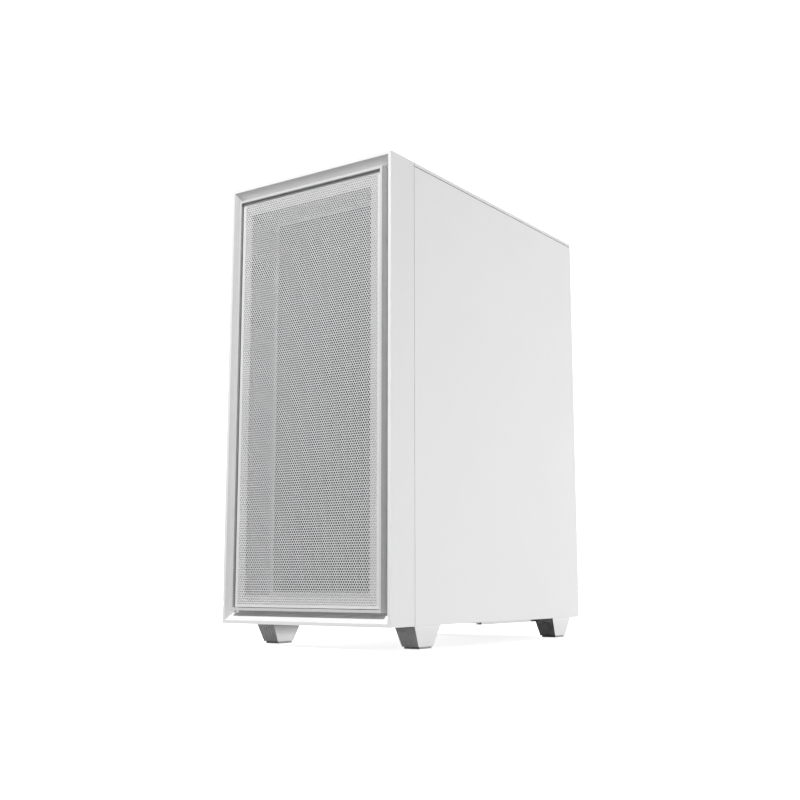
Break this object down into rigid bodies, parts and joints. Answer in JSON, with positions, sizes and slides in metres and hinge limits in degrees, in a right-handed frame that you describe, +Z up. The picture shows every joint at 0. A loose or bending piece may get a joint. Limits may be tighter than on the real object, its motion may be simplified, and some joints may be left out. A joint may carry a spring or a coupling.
{
  "type": "desktop computer tower",
  "caption": "White mid-tower desktop computer with a perforated front panel in a bevelled surround, removable side panels, feet, fans and the parts inside.",
  "frame": {"origin": "on the ground, in the middle of the tower's overall width and depth", "axes": "+X to the right of someone facing the front, +Y from the front to the rear, +Z up"},
  "size_m": [0.21, 0.389, 0.48],
  "materials": {
    "white_moulding": "satin moulded ABS",
    "foot_moulding": "satin moulded ABS, ribbed at the front",
    "white_frame": "powder coat",
    "white_mesh": "powder coat on perforated steel",
    "white_panel": "fine powder coat",
    "white_chassis": "fine powder coat",
    "white_cover": "powder coat",
    "filter_mesh": "woven nylon in a frame",
    "filter_top": "nylon mesh with a magnetic rim",
    "pad_rubber": "grey foam rubber",
    "tinted_glass": "clear tempered glass with a white printed border",
    "button_plastic": "satin button",
    "screw_steel": "black zinc",
    "board_mask": "black solder mask",
    "standoff_brass": "turned",
    "socket_steel": "stamped",
    "socket_plastic": "moulded",
    "port_steel": "bright stamped shells",
    "shield_steel": "printed steel",
    "heatsink_alu": "extruded",
    "dark_heatsink": "anodised",
    "fan_frame": "moulded",
    "fan_blades": "moulded",
    "bracket_steel": "nickelled",
    "card_shroud": "moulded",
    "psu_steel": "black powder coat",
    "rocker_plastic": "moulded",
    "drive_alu": "cast and anodised",
    "cable_sleeve": "braided sleeve"
  },
  "bodies": {
    "chassis": {"chassis_front_plate": "white_chassis", "chassis_top_plate": "white_chassis", "chassis_bottom_plate": "white_chassis", "chassis_rear_plate": "white_chassis", "motherboard_tray": "white_chassis", "psu_shroud": "white_chassis", "expansion_slot_covers": "white_cover", "slot_cover_screws": "screw_steel", "drive_cage": "white_chassis", "hard_drive": "drive_alu", "solid_state_drive": "drive_alu", "foot_front_left": "foot_moulding", "foot_front_right": "foot_moulding", "foot_rear_left": "foot_moulding", "foot_rear_right": "foot_moulding", "foot_pads": "pad_rubber", "top_cover": "white_moulding", "front_io_board": "board_mask", "front_io_ports": "port_steel", "motherboard": "board_mask", "motherboard_standoffs": "standoff_brass", "processor_socket": "socket_steel", "memory_modules": "dark_heatsink", "motherboard_slots": "socket_plastic", "motherboard_heatsinks": "dark_heatsink", "rear_io_shield": "shield_steel", "rear_io_ports": "port_steel", "cooler_heatsink": "heatsink_alu", "cooler_fan_frame": "fan_frame", "graphics_card_board": "board_mask", "graphics_card_bracket": "bracket_steel", "graphics_card_shroud": "card_shroud", "psu_housing": "psu_steel", "psu_inlet": "socket_plastic", "front_fan_frame_lower": "fan_frame", "front_fan_frame_middle": "fan_frame", "front_fan_frame_upper": "fan_frame", "rear_fan_frame": "fan_frame", "power_cable_bundle": "cable_sleeve", "graphics_power_cable": "cable_sleeve"},
    "front_panel": {"front_bezel": "white_moulding", "front_mesh_frame": "white_frame", "front_mesh": "white_mesh", "front_dust_filter": "filter_mesh"},
    "right_panel": {"right_side_panel": "white_panel"},
    "left_panel": {"left_panel_frame": "white_panel", "left_panel_glass": "tinted_glass"},
    "top_filter": {"top_filter": "filter_top"},
    "bottom_filter": {"psu_filter": "filter_mesh"},
    "power_button": {"power_button": "button_plastic"},
    "reset_button": {"reset_button": "button_plastic"},
    "psu_rocker": {"psu_rocker_switch": "rocker_plastic"},
    "front_fan_rotor_lower": {"front_fan_rotor_lower": "fan_blades"},
    "front_fan_rotor_middle": {"front_fan_rotor_middle": "fan_blades"},
    "front_fan_rotor_upper": {"front_fan_rotor_upper": "fan_blades"},
    "rear_fan_rotor": {"rear_fan_rotor": "fan_blades"},
    "cooler_fan_rotor": {"cooler_fan_rotor": "fan_blades"},
    "psu_fan_rotor": {"psu_fan_rotor": "fan_blades"},
    "graphics_fan_rotor_front": {"graphics_fan_rotor_front": "fan_blades"},
    "graphics_fan_rotor_rear": {"graphics_fan_rotor_rear": "fan_blades"}
  },
  "joints": [
    {"name": "front_panel_pull", "type": "slide", "parent": "chassis", "child": "front_panel", "axis": [0, -1, 0], "range_m": [0, 0.15]},
    {"name": "right_panel_pull", "type": "slide", "parent": "chassis", "child": "right_panel", "axis": [1, 0, 0], "range_m": [0, 0.15]},
    {"name": "left_panel_pull", "type": "slide", "parent": "chassis", "child": "left_panel", "axis": [-1, 0, 0], "range_m": [0, 0.15]},
    {"name": "top_filter_lift", "type": "slide", "parent": "chassis", "child": "top_filter", "axis": [0, 0, 1], "range_m": [0, 0.1]},
    {"name": "bottom_filter_slide", "type": "slide", "parent": "chassis", "child": "bottom_filter", "axis": [0, 1, 0], "range_m": [0, 0.165]},
    {"name": "power_button_press", "type": "slide", "parent": "chassis", "child": "power_button", "axis": [0, 0, -1], "range_m": [0, 0.0015], "stiffness_N_per_m": 400, "springref_m": -0.001},
    {"name": "reset_button_press", "type": "slide", "parent": "chassis", "child": "reset_button", "axis": [0, 0, -1], "range_m": [0, 0.0015], "stiffness_N_per_m": 400, "springref_m": -0.001},
    {"name": "psu_rocker_turn", "type": "hinge", "parent": "chassis", "child": "psu_rocker", "pos_m": [0.01, 0.186, 0.077], "axis": [1, 0, 0], "range_deg": [0, 16]},
    {"name": "front_fan_spin_lower", "type": "hinge", "parent": "chassis", "child": "front_fan_rotor_lower", "pos_m": [0, -0.135, 0.129], "axis": [0, -1, 0], "continuous": true},
    {"name": "front_fan_spin_middle", "type": "hinge", "parent": "chassis", "child": "front_fan_rotor_middle", "pos_m": [0, -0.135, 0.251], "axis": [0, -1, 0], "continuous": true},
    {"name": "front_fan_spin_upper", "type": "hinge", "parent": "chassis", "child": "front_fan_rotor_upper", "pos_m": [0, -0.135, 0.373], "axis": [0, -1, 0], "continuous": true},
    {"name": "rear_fan_spin", "type": "hinge", "parent": "chassis", "child": "rear_fan_rotor", "pos_m": [-0.032, 0.178, 0.3955], "axis": [0, -1, 0], "continuous": true},
    {"name": "cooler_fan_spin", "type": "hinge", "parent": "chassis", "child": "cooler_fan_rotor", "pos_m": [-0.02725, 0.069, 0.3805], "axis": [0, -1, 0], "continuous": true},
    {"name": "psu_fan_spin", "type": "hinge", "parent": "chassis", "child": "psu_fan_rotor", "pos_m": [0.003, 0.1205, 0.045], "axis": [0, 0, -1], "continuous": true},
    {"name": "graphics_fan_spin_front", "type": "hinge", "parent": "chassis", "child": "graphics_fan_rotor_front", "pos_m": [0.0069, 0.0035, 0.247], "axis": [0, 0, -1], "continuous": true},
    {"name": "graphics_fan_spin_rear", "type": "hinge", "parent": "chassis", "child": "graphics_fan_rotor_rear", "pos_m": [0.0069, 0.1035, 0.247], "axis": [0, 0, -1], "continuous": true}
  ]
}
